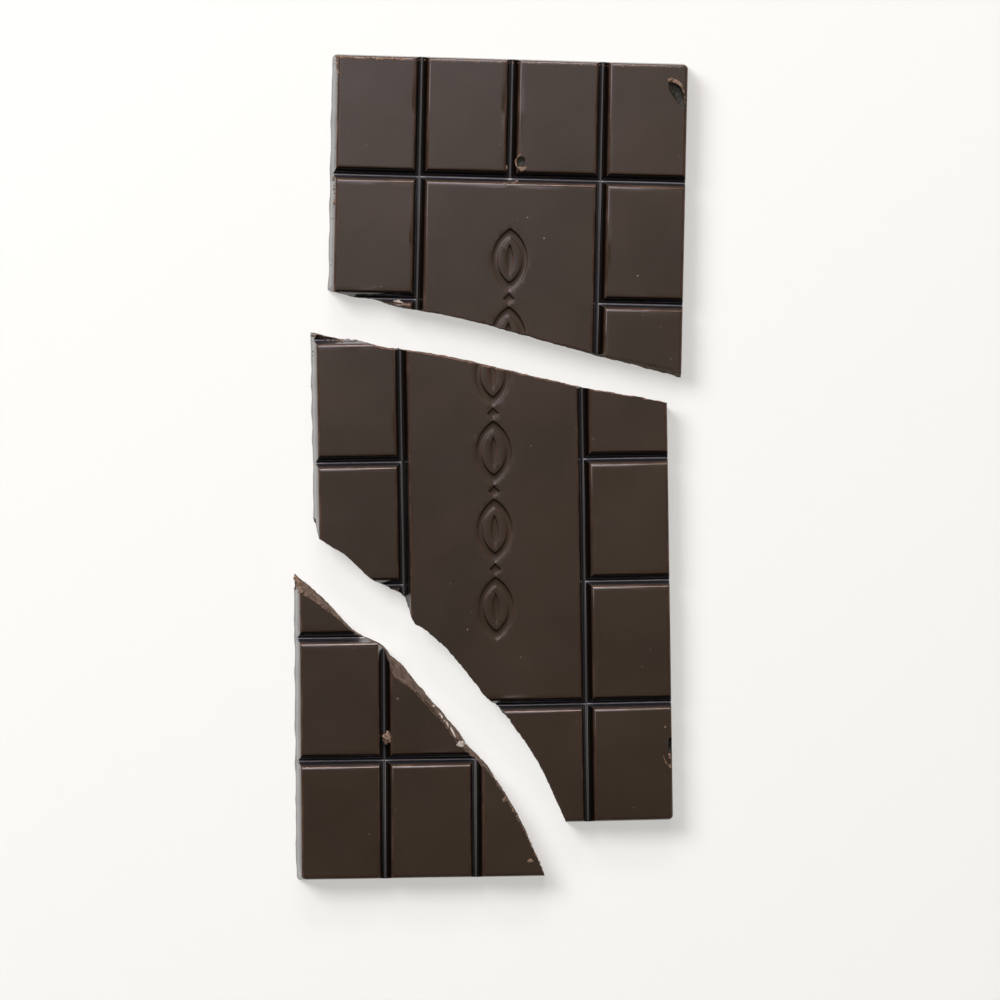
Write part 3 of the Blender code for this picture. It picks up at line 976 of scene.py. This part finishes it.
def addCrumbRow(trees, points, count, greatest, seed):
    # small crumbs on and beside a line, most of them well under the greatest radius
    draw = random.Random(seed)
    spread, least = rowShape["spread"] / 2, rowShape["least"]
    path = smoothPath([Vector((x, y, 0)) for x, y in points], greatest)
    row = []
    for i in range(count):
        point = path[min(int((i + draw.random()) / count * len(path)), len(path) - 1)]
        place = [part + draw.uniform(-spread, spread) for part in point.xy]
        radius = greatest * (least + (1 - least) * draw.random() ** 2)
        shares = [draw.uniform(*rowShape[way]) for way in ("across", "along")] + [rowShape["height"]]
        radii = [radius * share for share in shares]
        own = draw.uniform(0, rowShape["seeds"])
        row.append(addCrumb(trees, place, radii, 0.0, own, loose["rowDetail"]))
    return [bm for bm in row if bm]


def joinShapes(name, shapes, material):
    # one piece in metres from several small closed shapes
    proudest = loose["proudest"]
    joined = bmesh.new()
    for bm in shapes:
        bmesh.ops.recalc_face_normals(bm, faces=bm.faces)
        mesh = bpy.data.meshes.new("shape")
        bm.to_mesh(mesh)
        bm.free()
        joined.from_mesh(mesh)
        bpy.data.meshes.remove(mesh)
    for vert in joined.verts:
        above = vert.co.z - thickness
        if above > 0:
            vert.co.z = thickness + proudest * (1 - math.exp(-above / proudest))
        vert.co.z = max(vert.co.z, loose["lowest"])
    bmesh.ops.scale(joined, vec=(mm, mm, mm), verts=joined.verts)
    mesh = bpy.data.meshes.new(name)
    joined.to_mesh(mesh)
    joined.free()
    piece = bpy.data.objects.new(name, mesh)
    bpy.context.scene.collection.objects.link(piece)
    mesh.materials.append(material)
    mesh.shade_smooth()
    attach(piece, "root")
    print(name, len(mesh.polygons))


def looseBits(pieces):
    trees = []
    for piece in pieces:
        points = [v.co.copy() for v in piece.data.vertices]
        trees.append(BVHTree.FromPolygons(points, [tuple(p.vertices) for p in piece.data.polygons]))
    matte = crumbledFinish("crumbledChocolate")
    paintedGlint = crumbledFinish("paintedGlintFlake")
    joinShapes("curledFlakes", [addCurl(trees, *curl) for curl in curls.values()], matte)
    joinShapes("crumbs", severalCrumbs(trees, crumbs, loose["crumbSeed"], loose["crumbDetail"]), matte)
    rows = [addCrumbRow(trees, *row, i) for i, row in enumerate(crumbRows.values())]
    joinShapes("edgeCrumbs", [bm for row in rows for bm in row], matte)
    flakes = severalCrumbs(trees, glints, loose["flakeSeed"], loose["flakeDetail"])
    joinShapes("paintedGlintFlakes", flakes + [addCurl(trees, *curl) for curl in paintedGlintCurls.values()], paintedGlint)


# each light: compass direction from +Y towards -X and lean from the zenith, both in degrees,
# distance and size in metres, power in watts, colour, and whether it lights the floor alone
lights = {
    "northSoftbox": (20.0, 32.0, 1.2, (0.8, 0.9), 10.2, (1.0, 0.93, 1.06), False),
    "northStrip": (6.0, 60.0, 1.2, (0.7, 0.2), 8.4, (1.0, 0.90, 0.88), False),
    "floorKey": (50.0, 47.9, 2.0, (0.9, 0.9), 165.0, (1.0, 1.0, 1.0), True),
}


def setLights(floor):
    floorOnly = bpy.data.collections.new("floorOnly")
    floorOnly.objects.link(floor)
    for name, (compass, lean, distance, size, power, colour, forFloor) in lights.items():
        data = bpy.data.lights.new(name, "AREA")
        data.shape = "RECTANGLE"
        data.size, data.size_y = size
        data.energy = power
        data.color = colour
        lamp = bpy.data.objects.new(name, data)
        bpy.context.scene.collection.objects.link(lamp)
        compass, lean = math.radians(compass), math.radians(lean)
        level = math.sin(lean)
        way = Vector((-level * math.sin(compass), level * math.cos(compass), math.cos(lean)))
        stand(lamp, way, way * distance)
        if forFloor:
            lamp.light_linking.receiver_collection = floorOnly
    world = bpy.data.worlds.new("studio")
    world.use_nodes = True
    background = world.node_tree.nodes["Background"]
    for socket, value in zip(("Color", "Strength"), studio["sky"]):
        background.inputs[socket].default_value = value
    bpy.context.scene.world = world
    bpy.context.scene.view_settings.view_transform = "Standard"
    print("lights", len(lights))


ground = {
    "half": 4.0,  # metres, half its side
    "gap": 0.00002,  # keeps it just clear of the flat backs
    "finish": {
        "Base Color": (0.12, 0.119, 0.116, 1),
        "Roughness": 0.9,
        "Specular IOR Level": 0.0,
        "Emission Color": (1.0, 0.983, 0.94, 1),
        "Emission Strength": 0.526,
    },
}


def addFloor():
    bm = bmesh.new()
    bmesh.ops.create_grid(bm, x_segments=1, y_segments=1, size=ground["half"])
    bmesh.ops.translate(bm, vec=(0, 0, -ground["gap"]), verts=bm.verts)
    floor = objectFrom(bm, "floor", bpy.context.scene.collection)
    floor.data.materials.append(newMaterial("paleFloor", ground["finish"])[0])
    return floor


setCamera()
setLights(addFloor())
looseBits(chocolatePieces())
